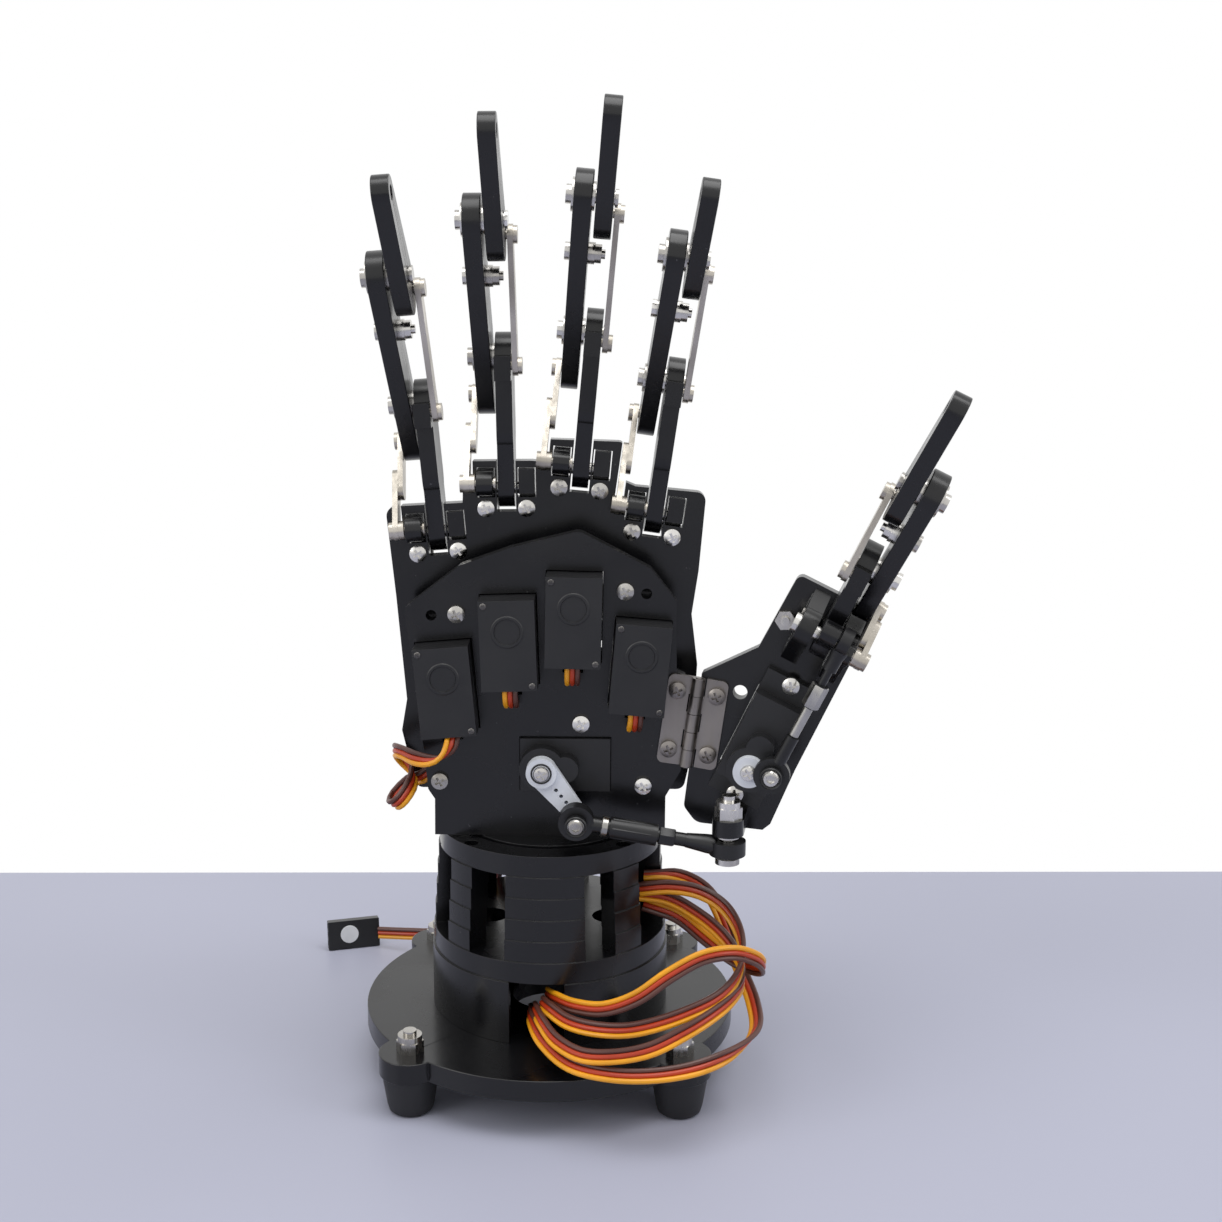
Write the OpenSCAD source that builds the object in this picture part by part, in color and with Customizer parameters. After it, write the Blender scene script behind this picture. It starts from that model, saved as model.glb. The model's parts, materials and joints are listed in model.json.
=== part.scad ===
// Desk-top dexterous hand: laser-cut palm, linkage fingers and a turning stand.
// The palm faces -Y, the fingers point up +Z and curl towards -Y.

/* [Sheet and stand] */
// Thickness of the thin sheet of palm, fingers and brackets
sheet = 3.65; // [3:0.05:4]
// Thickness of the thick sheet of base and column rings
thick = 4.9; // [4.5:0.1:5]
// Radius of the base disc
base_r = 43.5; // [42:0.5:50]
// Distance of the feet from the middle along X and Y
foot_xy = 30; // [29:0.5:32]
// Height of the rubber feet
foot_h = 9.1; // [8:0.1:12]
// Outer radius of the lowest column rings
column_r = 27.8; // [27.5:0.1:29]
// Width of the column wall
column_wall = 5.4; // [5:0.1:6]

/* [Digits] */
// Half the depth of a finger bar
bar_r = 5.4; // [5:0.1:5.6]
// Forward lean of the proximal bars
lean_p = 2; // [0:0.5:4]
// Forward lean of the middle bars
lean_m = 36; // [34:0.5:38]
// Forward lean of the fingertips
lean_d = 42; // [40:0.5:44]
// Thickness of the steel link strips
strip = 1.2; // [1:0.1:1.3]
// Radius of the pins that the digits turn on
pin_r = 1.5; // [1.4:0.05:1.5]
// Radial running clearance of every turning pin
run = 0.05; // [0.03:0.01:0.08]

/* [Servos] */
// Width of a servo body
servo_w = 12.2; // [12:0.1:12.3]
// Length of a servo body
servo_l = 20.2; // [20:0.1:20.4]
// Height of a servo body without its shaft boss
servo_h = 22.7; // [22:0.1:23]

/* [Hidden] */
$fn = 48;
// puts the origin below the middle of the whole hand
centre = [-19.37, 6.01];
foot_top = foot_h;
base_top = foot_h + thick;
column_top = base_top + 9 * thick;
turntable_top = column_top + 0.4;
// front faces of the two palm plates
front_y = -13;
back_y = -2;
screw_r = 1;
head_r = 1.9;
lane_m = 4.5;
lane_bracket = 4.55;
lane_l2 = 2.75;
pivot_y = 2.2;
pin_a = [6.9, 1.8];
pin_c = [-12, -1.5];
pin_f = [5.8, -1.5];
pin_g = [-6.2, -2.6];
stop_at = -14;
crank = 7;
crank_drop = 20;
open_clear = 0.9;

// each finger: name, x and z of the first pivot, sideways lean, three lengths
PINKY = ["pinky", -25.4, 125.7, -4.8, 29.1, 34.7, 25.0];
RING = ["ring", -9.7, 135.8, -0.8, 29.3, 35.7, 25.7];
MIDDLE = ["middle", 7.0, 140.2, 5.0, 30.3, 35.0, 24.1];
INDEX = ["index", 23.5, 130.1, 7.7, 30.0, 33.2, 20.0];
FINGERS = [PINKY, RING, MIDDLE, INDEX];
// each finger servo: x and z of its middle, sideways lean, side of its horn
SERVOS = [[-22.3, 93.5, -5, 1], [-8.45, 104.1, -2, 1], [5.75, 109.3, 1, 1], [20.4, 98.8, 4.6, 1]];

// ---- helpers -------------------------------------------------------------

function along(lean) = [sin(lean), cos(lean)];
function ahead(lean) = [cos(lean), -sin(lean)];
function length_of(v) = sqrt(v * v);

// points along an arc round c, from angle a to angle b by the short way
function arc(c, r, a, b, n) = let (turn = ((b - a + 900) % 360) - 180)
    [for (i = [0:n]) c + r * [cos(a + turn * i / n), sin(a + turn * i / n)]];
function heading(v) = atan2(v[1], v[0]);

// a round-ended bar in the plane, from p to q, whose ends have the radii a and b
module taper2(p, q, a, b) {
    d = q - p;
    h = heading(d);
    t = acos((a - b) / length_of(d));
    polygon(concat(arc(p, a, h + t, h + 180, 12), arc(p, a, h + 180, h - t, 12),
        arc(q, b, h - t, h, 12), arc(q, b, h, h + t, 12)));
}

module bar2(p, q, r) {
    taper2(p, q, r, r);
}

// an outline whose outward corners are rounded; each point is [x, y, radius]
module rounded(points) {
    n = len(points);
    function at(i) = [points[(i + n) % n][0], points[(i + n) % n][1]];
    function unit(v) = v / length_of(v);
    function into(i) = unit(at(i - 1) - at(i));
    function out(i) = unit(at(i + 1) - at(i));
    function half(i) = acos(into(i) * out(i)) / 2;
    function corner(i, r) = let (
        c = at(i) + unit(into(i) + out(i)) * r / sin(half(i)),
        reach = r / tan(half(i)))
        arc(c, r, heading(at(i) + into(i) * reach - c), heading(at(i) + out(i) * reach - c), 6);
    polygon([for (i = [0:n - 1])
        each points[i][2] > 0 ? corner(i, points[i][2]) : [at(i)]]);
}

// a plate in the XZ plane whose front face is at y
module upright(y, t) {
    translate([0, y + t, 0]) rotate([90, 0, 0]) linear_extrude(t) children();
}

// a plate in a digit's bending plane; the outline is [ahead, up], lane is its middle
module slice(lane, t) {
    translate([lane + t / 2, 0, 0]) rotate([90, 0, -90]) linear_extrude(t) children();
}

// a round pin across a digit at p = [ahead, up], between two lanes
module pin(p, from, to, r) {
    translate([from, -p[0], p[1]]) rotate([0, 90, 0]) cylinder(r = r, h = to - from);
}

// a round bar between two points in space
module rod(p, q, r) {
    d = q - p;
    translate(p) rotate([0, acos(d[2] / length_of(d)), atan2(d[1], d[0])])
        cylinder(r = r, h = length_of(d));
}

// a pan head with a cross recess, seated on z = 0
module pan(r) {
    difference() {
        rotate_extrude() intersection() {
            translate([0, -2.6]) circle(4.1, $fn = 60);
            square([r, 1.5]);
        }
        for (a = [30, 120]) rotate(a) translate([-1.1, -0.27, 0.6]) cube([2.2, 0.54, 1]);
    }
}

// a pan-head screw along -Y: the head's seat is at p, the shank goes to +Y
module screw_y(p, shank, r = screw_r, head = head_r) {
    translate(p) rotate([-90, 0, 0]) cylinder(r = r, h = shank);
    translate(p) rotate([90, 0, 0]) pan(head);
}

// ---- servo ---------------------------------------------------------------

// shaft along +Z, origin at the seat of the ears, on the middle of the body
servo_seat = 18;
ear_t = 2.4;
ear_reach = 5;
ear_hole = 13.85;
shaft_off = 5.1;

module servo_body(reach = ear_reach, hole = ear_hole) {
    difference() {
        union() {
            translate([-servo_w / 2, -servo_l / 2, -servo_seat]) cube([servo_w, servo_l, servo_h]);
            translate([-servo_w / 2, -servo_l / 2 - reach, -ear_t])
                cube([servo_w, servo_l + 2 * reach, ear_t]);
            translate([0, -shaft_off, 0]) cylinder(r = 5, h = servo_h - servo_seat + 3.8);
            cylinder(r = 3, h = servo_h - servo_seat + 3.8);
            translate([0, -shaft_off, 0]) cylinder(r = 2.3, h = servo_h - servo_seat + 5.1);
        }
        for (s = [-1, 1]) translate([0, s * hole, -ear_t - 1]) cylinder(r = screw_r, h = ear_t + 2);
        translate([0, 3.2, -servo_seat - 1]) cylinder(r = 3.1, h = 1.35);
        translate([-1.9, -servo_l / 2 - 1, -servo_seat + 1.2]) cube([3.8, 2.2, 1.3]);
    }
}

// a horn on the shaft: hub, arm towards +X and the stud of a ball link
module servo_horn(arm, tip_r, stud) {
    difference() {
        union() {
            cylinder(r = 3.4, h = 2);
            linear_extrude(1.8) bar2([0, 0], [arm, 0], tip_r);
            translate([arm, 0, 0]) cylinder(r = screw_r, h = stud);
            translate([arm, 0, stud]) cylinder(r = 2.3, h = 1.2);
        }
        translate([arm, 0, stud + 0.4]) cylinder(r = 0.9, h = 2, $fn = 6);
        translate([0, 0, -1]) cylinder(r = 2.3 + run, h = 2.4);
    }
}

// ---- stand ---------------------------------------------------------------

module at_feet() {
    for (x = [-1, 1], y = [-1, 1]) translate([x * foot_xy, y * foot_xy, 0]) children();
}

module at_pillars() {
    for (a = [45, 135, 225, 315]) rotate(a) translate([column_r - column_wall / 2 - 1, 0, 0]) children();
}

module base_plate() {
    color("black") translate([0, 0, foot_top]) linear_extrude(thick) difference() {
        union() {
            circle(base_r, $fn = 96);
            at_feet() circle(7);
        }
        at_feet() circle(1.6);
        at_pillars() circle(1.6);
        circle(9);
    }
}

module rubber_feet() {
    color("dimgray") at_feet() rotate_extrude() difference() {
        polygon([[1.6, 0], [4.2, 0], [4.9, 0.6], [5.3, 2], [6.4, foot_h], [1.6, foot_h]]);
        square([3, 3.4]);
    }
}

module foot_fasteners() {
    color("silver") at_feet() {
        translate([0, 0, 1.2]) cylinder(r = 2.8, h = 2.2);
        translate([0, 0, 3.4]) cylinder(r = 1.5, h = base_top + 5 - 3.4);
        translate([0, 0, base_top]) difference() {
            union() {
                cylinder(r = 3.1, h = 2.6, $fn = 6);
                cylinder(r = 2.7, h = 4);
            }
            translate([0, 0, -1]) cylinder(r = 1.5, h = 6);
        }
    }
}

// outer radius of column ring i, counted from the base
function ring_r(i) = i < 3 ? column_r : column_r - 0.4 - (i - 3) * 0.32;

module window(a, b) {
    polygon([[0, 0], for (t = [a:(b - a) / 4:b + 0.01]) 40 * [sin(t), -cos(t)]]);
}

module column_rings() {
    color("black") for (i = [0:8]) translate([0, 0, base_top + i * thick])
        linear_extrude(thick) difference() {
            circle(ring_r(i), $fn = 96);
            if (i == 3) {
                translate([0, shaft_off]) square([servo_w + 0.4, servo_l + 0.4], center = true);
                translate([-14, 0]) circle(4);
                translate([14, 0]) circle(4);
            } else if (i == 6) {
                difference() {
                    circle(ring_r(i) - column_wall);
                    square([16, 60], center = true);
                }
                translate([0, shaft_off]) square([servo_w + 0.4, servo_l + 0.4], center = true);
            } else {
                circle(ring_r(i) - column_wall, $fn = 96);
            }
            if (i < 3) translate([-8.2, -40]) square([12.4, 40]);
            if (i > 3 && i < 8) for (s = [0, 1]) mirror([0, s]) difference() {
                union() {
                    window(-40, -20);
                    window(19, 35);
                    window(-80, -57);
                    window(52, 80);
                }
                circle(ring_r(i) - column_wall - 0.1);
            }
            at_pillars() circle(1.6);
        }
}

module wrist_servo() {
    color("dimgray") translate([0, shaft_off, base_top + 6 * thick]) servo_body();
}

module turntable() {
    hub = base_top + 6 * thick + servo_h - servo_seat + 3.9;
    color("dimgray") difference() {
        union() {
            translate([0, 0, turntable_top - sheet]) cylinder(r = 19.8, h = sheet);
            translate([0, 0, hub]) cylinder(r = 6, h = turntable_top - hub);
        }
        translate([0, 0, hub - 1]) cylinder(r = 2.3 + run, h = 2.4);
        translate([0, 0, hub]) cylinder(r = 1.1, h = 20);
    }
    color("dimgray") for (x = [-16, 16]) translate([x, 0, 0])
        translate([-sheet / 2, front_y + sheet, turntable_top])
            cube([sheet, back_y - front_y - sheet, 8]);
}

// ---- palm ----------------------------------------------------------------

front_outline = [[-25.6, turntable_top, 0], [26.5, turntable_top, 0], [26.5, 68, 1],
    [29.8, 74, 1], [30.6, 80, 0],
    [30.6, 96, 0], [28.6, 97, 0], [28.3, 107, 0], [28.4, 112.9, 1], [22.6, 120.2, 1], [16.9, 123.2, 2],
    [6.9, 128.4, 3], [-8.2, 124.6, 2], [-19.2, 120.6, 2], [-31.6, 111, 1.5],
    [-27.6, 76.8, 0], [-27, 69.3, 1], [-25.5, 67, 0]];

finger_outline = [[-14, turntable_top, 0], [14, turntable_top, 0], [14, 66, 0], [31, 66, 2],
    [32.5, 73, 0], [33.7, 96, 0], [32.2, 107.7, 0], [33.6, 117.7, 0], [35, 135.4, 2],
    [19.2, 136.8, 0], [17, 137.7, 0], [16.7, 146.7, 1.5], [-1.3, 147.2, 1.5],
    [-1.6, 142.4, 0], [-19.2, 142.1, 1.5], [-19.5, 132.8, 0], [-36.8, 131.7, 2.2],
    [-34.8, 111.6, 0], [-32.8, 87.2, 0], [-34.1, 79.8, 0], [-31, 66, 2], [-14, 66, 0]];

front_screws = [[-20.1, 109.8], [17, 115.2], [7.4, 85], [-24.3, 71.4], [21.4, 70.6]];
swing_hub = [-1.2, 75.5];

// the place of finger f: X across it, Z along it, origin on its first pivot
module in_finger(f) {
    translate([f[1], pivot_y, f[2]]) rotate([0, f[3], 0]) children();
}

// the place of finger servo s, body along +Y, in the palm
module at_servo(s) {
    translate([s[0], back_y, s[1]]) rotate([0, s[2], 0]) rotate([-90, 180, 0]) children();
}

module servo_cut(wide = 0.3) {
    square([servo_w + wide, servo_l + wide], center = true);
}

// the opening that the swing servo's body passes through
module swing_cut() {
    translate([swing_hub[0] + shaft_off - servo_l / 2 - 0.2, -20, swing_hub[1] - servo_w / 2 - 0.2])
        cube([servo_l + 0.4, 30, servo_w + 0.4]);
}

module finger_plate() {
    slot = sheet + 0.5;
    link_room = [9.45, 14, 14, 9.45];
    color("black") difference() {
        upright(back_y, sheet) rounded(finger_outline);
        for (i = [0:3]) in_finger(FINGERS[i]) {
            translate([-2.15, -6, -4.9]) cube([4.3, 8, 30]);
            translate([-2.7, -1.65, -1.7]) cube([5.4, 2, 3.4]);
            translate([-link_room[i], -6, 1.2]) cube([link_room[i] - 7.4, 8, 20]);
            for (s = [-1, 1]) translate([s * lane_bracket - slot / 2, -6, -1.7])
                cube([slot, 8, 6.7]);
            for (s = [-1, 1]) translate([s * lane_bracket, -6, -4.1]) rotate([-90, 0, 0])
                cylinder(r = screw_r + 0.05, h = 8);
        }
        for (s = SERVOS) translate([s[0], back_y + 5, s[1]]) rotate([0, s[2], 0])
            rotate([90, 0, 0]) linear_extrude(8) {
                servo_cut();
                for (e = [-1, 1]) translate([0, e * 12.2]) circle(screw_r);
            }
        swing_cut();
        for (p = front_screws) translate([p[0], back_y - 1, p[1]]) rotate([-90, 0, 0])
            cylinder(r = screw_r + 0.05, h = sheet + 2);
    }
}

module front_plate() {
    color("black") difference() {
        upright(front_y, sheet) rounded(front_outline);
        for (s = SERVOS) translate([s[0], front_y + 5, s[1]]) rotate([0, s[2], 0])
            rotate([90, 0, 0]) linear_extrude(8) {
                servo_cut(0.6);
                translate([-2.3, -servo_l / 2 - 2.6]) square([4.6, 3]);
            }
        swing_cut();
        for (p = front_screws) translate([p[0], front_y - 1, p[1]]) rotate([-90, 0, 0])
            cylinder(r = screw_r + 0.05, h = sheet + 2);
        for (p = [[-25.7, 109.4], [21.7, 114.6]]) translate([p[0], front_y - 1, p[1]])
            rotate([-90, 0, 0]) cylinder(r = 1.2, h = sheet + 2);
        leaf_holes(-1);
    }
}

// one finger bracket in the bending plane; ear is true on the side of the first link
module bracket2(ear) {
    y = pivot_y - back_y;
    difference() {
        union() {
            circle(4.2);
            translate([-3.2, -14]) square([3.2 + y - sheet, 14]);
            translate([0, -1]) square([y, 5.8]);
            translate([-1, -9]) square([1 + y - sheet, 13.8]);
            if (ear) bar2([2, pin_a[1]], pin_a, 2.8);
        }
        circle(pin_r);
        if (ear) translate(pin_a) circle(pin_r - 0.5 + run);
        translate([y - sheet, -9]) square([6, 8]);
        translate([y - sheet - 9, -4.1 - screw_r]) square([10, 2 * screw_r]);
        translate([y - sheet - 5, -4.1 - 2]) square([1.6, 4]);
    }
}

module finger_brackets() {
    color("black") for (f = FINGERS) in_finger(f) {
        slice(-lane_bracket, sheet) bracket2(true);
        slice(lane_bracket, sheet) bracket2(false);
    }
}

module palm_hardware() {
    color("silver") {
        for (f = FINGERS) in_finger(f) {
            for (s = [-1, 1]) translate([s * lane_bracket, back_y - pivot_y, -4.1])
                screw_y([0, 0, 0], 7.8);
            pin([0, 0], -6.4, 6.4, pin_r);
        }
        for (p = front_screws) translate([p[0], 0, p[1]]) {
            screw_y([0, front_y, 0], back_y + sheet - front_y + 0.8);
            translate([0, front_y + sheet, 0]) rotate([-90, 0, 0]) difference() {
                cylinder(r = 1.75, h = back_y - front_y - sheet);
                translate([0, 0, -1]) cylinder(r = screw_r, h = 12);
            }
        }
    }
}

module palm_servo(s) {
    at_servo(s) servo_body(4, 12.2);
}

// the swing servo lies across the palm, shaft towards -Y
module at_swing() {
    translate([swing_hub[0], front_y + sheet, swing_hub[1]]) rotate([90, 0, 0])
        rotate(-90) translate([0, shaft_off, 0]) children();
}

module palm_servos() {
    color("dimgray") {
        for (s = SERVOS) palm_servo(s);
        at_swing() servo_body();
    }
}

horn_seat = servo_h - servo_seat + 3.9;

// the horn and the rod of finger i; the side is -1 or 1 along X
function finger_side(i) = i < 2 ? -1 : 1;
function servo_lean(i) = SERVOS[i][2];
function shaft_at(i) = [SERVOS[i][0] - shaft_off * sin(servo_lean(i)), 0,
    SERVOS[i][1] - shaft_off * cos(servo_lean(i))];
function ball_at(i) = shaft_at(i) + [finger_side(i) * crank * cos(crank_drop),
    back_y + horn_seat + 3.3, -crank * sin(crank_drop)];
function crank_pin() = [-crank * cos(crank_drop), -crank * sin(crank_drop)];
function place(f, lane, p) = [f[1] + lane * cos(f[3]) + p[1] * sin(f[3]), pivot_y - p[0],
    f[2] - lane * sin(f[3]) + p[1] * cos(f[3])];

module finger_horn(i) {
    translate([shaft_at(i)[0], back_y + horn_seat, shaft_at(i)[2]]) rotate([-90, 0, 0])
        rotate(finger_side(i) > 0 ? crank_drop : 180 - crank_drop)
            servo_horn(crank, 2.2, 4.6);
}

module finger_rod(i) {
    f = FINGERS[i];
    side = finger_side(i);
    top = place(f, side * 3, crank_pin());
    low = ball_at(i);
    d = (top - low) / length_of(top - low);
    color("silver") in_finger(f) {
        pin(crank_pin(), side > 0 ? 2.2 : -3.8, side > 0 ? 3.8 : -2.2, 2.4);
        pin(crank_pin(), side > 0 ? -1.9 : -4.6, side > 0 ? 4.6 : 1.9, screw_r);
        pin(crank_pin(), side > 0 ? 3.8 : -4.6, side > 0 ? 4.6 : -3.8, 1.7);
    }
    color("silver") {
        rod(low + 2.4 * d, top - 1.2 * d, 0.9);
        translate(low - [0, 0.9, 0]) rotate([-90, 0, 0]) difference() {
            cylinder(r = 3.1, h = 1.8);
            translate([0, 0, -1]) cylinder(r = screw_r + open_clear, h = 4);
        }
    }
}

// ---- swing linkage and hinge ---------------------------------------------

swing_ball = [6.6, -24, 65.8];
stud = [41.4, -22, 0];
stud_eye_z = 58.4;
hinge_p = [32.2, front_y - 1.5, 85.8];
hinge_lean = 7.5;
thumb_rest = 10;

module on_hinge() {
    translate(hinge_p) rotate([0, hinge_lean, 0]) children();
}

// turns a flat thumb plate forward to its resting angle
module swung() {
    on_hinge() rotate(-thumb_rest) rotate([0, -hinge_lean, 0]) translate(-hinge_p) children();
}

module swing_horn() {
    d = [swing_ball[0] - swing_hub[0], swing_ball[2] - swing_hub[1]];
    translate([swing_hub[0], front_y + sheet - horn_seat, swing_hub[1]]) rotate([90, 0, 0])
        rotate(atan2(d[1], d[0])) color("white") difference() {
            union() {
                cylinder(r = 3.4, h = 2.6);
                linear_extrude(1.8) polygon([[0, -3.4], [length_of(d), -2.2], [length_of(d), 2.2],
                    [0, 3.4]]);
                linear_extrude(1.8) translate([length_of(d), 0]) circle(2.2);
                translate([length_of(d), 0, 0]) cylinder(r = screw_r, h = 8.8);
                translate([length_of(d), 0, 8.6]) cylinder(r = 2.2, h = 1.3);
            }
            translate([length_of(d), 0, 9.1]) cylinder(r = 0.9, h = 2, $fn = 6);
            translate([0, 0, -1]) cylinder(r = 2.3 + run, h = 2.4);
            for (t = [5.2, 7, 8.8]) translate([t, 0, -1]) cylinder(r = 0.45, h = 4);
        }
}

function swung_point(p) = let (
    q = p - hinge_p,
    u = [q[0] * cos(hinge_lean) - q[2] * sin(hinge_lean), q[1],
        q[0] * sin(hinge_lean) + q[2] * cos(hinge_lean)],
    v = [u[0] * cos(thumb_rest) + u[1] * sin(thumb_rest),
        -u[0] * sin(thumb_rest) + u[1] * cos(thumb_rest), u[2]])
    hinge_p + [v[0] * cos(hinge_lean) + v[2] * sin(hinge_lean), v[1],
        -v[0] * sin(hinge_lean) + v[2] * cos(hinge_lean)];

module swing_rod() {
    eye = swung_point([stud[0], stud[1], stud_eye_z + 1.6]);
    d = (eye - swing_ball) / length_of(eye - swing_ball);
    color("black") {
        translate(swing_ball + [0, 1.7, 0]) rotate([90, 0, 0]) difference() {
            cylinder(r = 3.9, h = 3.4);
            translate([0, 0, -1]) cylinder(r = screw_r + open_clear, h = 6);
        }
        rod(swing_ball + 3.4 * d, swing_ball + 8 * d, 1.8);
        rod(swing_ball + 7.5 * d, swing_ball + 18 * d, 2.4);
        rod(swing_ball + 17.5 * d, eye - 2.6 * d, 1.5);
        swung() translate([stud[0], stud[1], stud_eye_z]) difference() {
            cylinder(r = 4, h = 3.2);
            translate([0, 0, -1]) cylinder(r = pin_r + 0.35, h = 6);
        }
    }
}

// one leaf with its knuckles; side is -1 for the palm and 1 for the thumb
leaf_h = 20.6;
knuckle = leaf_h / 5;
leaf_hole = 6.8;

module leaf(side, rows) {
    difference() {
        union() {
            translate([0, 1.5, -leaf_h / 2]) rotate([90, 0, 0]) linear_extrude(0.9)
                mirror([side < 0 ? 1 : 0, 0])
                    rounded([[1.75, 0, 0], [6.65, 0, 1.4], [6.65, leaf_h, 1.4], [1.75, leaf_h, 0]]);
            for (i = rows) translate([0, 0, -leaf_h / 2 + i * knuckle + 0.06]) {
                cylinder(r = 1.5, h = knuckle - 0.12);
                translate([side < 0 ? -2 : 0, 0.6, 0]) cube([2, 0.9, knuckle - 0.12]);
            }
        }
        translate([0, 0, -leaf_h]) cylinder(r = 0.8 + (side > 0 ? run : 0), h = 2 * leaf_h);
        for (z = [-leaf_hole, leaf_hole]) translate([side * 4.4, 3, z]) rotate([90, 0, 0])
            cylinder(r = screw_r, h = 6);
    }
}

module leaf_screws(side) {
    for (z = [-leaf_hole, leaf_hole]) screw_y([side * 4.4, 0.6, z], 4.4);
}

// the holes that one leaf's screws need in its plate
module leaf_holes(side) {
    on_hinge() for (z = [-leaf_hole, leaf_hole]) translate([side * 4.4, 9, z])
        rotate([90, 0, 0]) cylinder(r = screw_r, h = 12);
}

module hinge_fixed_leaf() {
    color("silver") on_hinge() {
        leaf(-1, [0, 2, 4]);
        translate([0, 0, -10.4]) cylinder(r = 0.8, h = 20.8);
        leaf_screws(-1);
    }
}

module hinge_moving_leaf() {
    color("silver") on_hinge() rotate(-thumb_rest) {
        leaf(1, [1, 3]);
        leaf_screws(1);
    }
}

// ---- digits --------------------------------------------------------------

// a digit is [name, x, z, lean, lengths..]; w holds its own leans and pins:
// [lean_p, lean_m, lean_d, pin_a, pin_c, stop distance]
FINGER_W = [lean_p, lean_m, lean_d, pin_a, pin_c, stop_at];
THUMB = ["thumb", 61.0, 107.6, 25.4, 17.9, 23.2, 24.8];
THUMB_W = [4, 30, 34, [4.5, 0], [-9, 0.5], -12];
thumb_y = -20;
thumb_crank = [9.8, 3.2];

function pip(f, w) = f[4] * along(w[0]);
function dip(f, w) = pip(f, w) + f[5] * along(w[1]);
function in_p(f, w, q) = pip(f, w) + q[0] * ahead(w[0]) + q[1] * along(w[0]);
function in_m(f, w, q) = pip(f, w) + q[0] * along(w[1]) + q[1] * ahead(w[1]);
function in_d(f, w, q) = dip(f, w) + q[0] * along(w[2]) + q[1] * ahead(w[2]);

module proximal(f, w, arm, play) {
    top = pip(f, w);
    slice(0, sheet) difference() {
        union() {
            bar2([0, 0], top, 4.4);
            bar2(top - 0.55 * f[4] * along(w[0]), top, bar_r);
            translate(top) rotate(-w[0]) translate([0, -4.6]) square([pin_f[0] + 2.8, 5.4]);
            bar2([0, 0], arm, 2.5);
        }
        circle(pin_r + run);
        translate(top) circle(pin_r + run);
        translate(in_p(f, w, pin_f)) circle(screw_r + run);
        translate(arm) circle(screw_r + play);
    }
}

module middle_bar(f, w) {
    slice(-lane_m, 3.8) difference() {
        bar2(in_m(f, w, [w[4][0] + 2.4, 0]), dip(f, w), bar_r);
        translate(pip(f, w)) circle(pin_r);
        translate(dip(f, w)) circle(pin_r);
        translate(in_m(f, w, w[4])) circle(screw_r + open_clear);
        translate(in_d(f, w, [0, 0]) + w[5] * along(w[1])) circle(screw_r);
    }
}

module distal(f, w) {
    tip = in_d(f, w, [f[6] - 3.6, 0]);
    low = in_d(f, w, [-4, 0]);
    slice(0, sheet) difference() {
        taper2(low, tip, bar_r, 3.6);
        translate(dip(f, w)) circle(pin_r + run);
        translate(in_d(f, w, pin_g)) circle(screw_r + 0.5);
        translate(tip) circle(1.5);
    }
}

module link_1(f, w) {
    a = w[3];
    c = in_m(f, w, w[4]);
    half = (a + c) / 2;
    d = (c - a) / length_of(c - a);
    slice(-8.5, strip) bar2(a, half + 1.5 * d, 2.2);
    slice(-7.3, strip) bar2(half - 1.5 * d, c, 2.2);
    pin(a, -7.9, -2.1, screw_r);
    pin(a, -7.9, -6.7, 2.1);
    pin(a, -2.5, -2.1, 1.6);
    pin(a, -10, -9.1, 2);
    pin(c, -6.7, -2.7, screw_r);
    pin(c, -8.8, -7.9, 2);
}

module link_2(f, w) {
    p = in_p(f, w, pin_f);
    g = in_d(f, w, pin_g);
    slice(lane_l2, strip) bar2(p, g, 2.2);
    for (q = [p, g]) {
        pin(q, -1.8, lane_l2, screw_r);
        pin(q, lane_l2 + strip / 2, lane_l2 + strip / 2 + 0.9, 1.9);
    }
}

module digit_screws(f, w) {
    stop = dip(f, w) + w[5] * along(w[1]);
    for (q = [[pip(f, w), 3.15], [dip(f, w), 3.5]]) {
        pin(q[0], -8.1, 2.7, pin_r);
        pin(q[0], -6.9, -6.4, q[1]);
        pin(q[0], -2.6, -2.05, 3);
        pin(q[0], -8.1, -6.9, 2);
        pin(q[0], 2.05, 2.7, 1.9);
    }
    pin(stop, -7.6, -6.4, 1.9);
    pin(stop, -7, 1, screw_r);
    pin(stop, -2.6, -1.2, 2.3);
    pin(stop, -1.2, 0.2, 2);
}

// the thumb's parts stand on its plate, mirrored left to right
module in_thumb() {
    swung() translate([THUMB[1], thumb_y, THUMB[2]]) rotate([0, THUMB[3], 0])
        mirror([1, 0, 0]) children();
}

// ---- thumb ---------------------------------------------------------------

thumb_outline = [[33.9, 96.8, 0], [46.3, 103.3, 0], [54.6, 119.8, 1.5], [71.5, 111.9, 2],
    [55.1, 75.7, 0], [50, 62.9, 0], [48.3, 61.4, 0], [33.2, 62.2, 3], [30.4, 65.8, 2]];
thumb_servo_at = [48.0, 83.0];
thumb_servo_lean = 24.8;
thumb_ball = [51.0, -27.4, 78.6];

module at_thumb_servo() {
    translate([thumb_servo_at[0], front_y - ear_t, thumb_servo_at[1]])
        rotate([0, thumb_servo_lean, 0]) rotate([90, 0, 0]) children();
}

// one thumb bracket in the bending plane
module thumb_bracket2(ear) {
    base = front_y - thumb_y;
    difference() {
        union() {
            circle(4.2);
            translate([-base - sheet, -8]) square([sheet + 0.01, 14]);
            polygon([[-base, -9], [-3.4, -9], [2, -3.5], [0, 4], [-base, 7.5]]);
            if (ear) bar2([0, 0], THUMB_W[3], 2.6);
        }
        circle(pin_r);
        if (ear) translate(THUMB_W[3]) circle(screw_r + run);
        translate([-base - 4, 0.4 - screw_r]) square([7.4, 2 * screw_r]);
        translate([-base + 0.25, 0.4 - 2.3]) square([1.9, 4.6]);
    }
}

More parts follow.
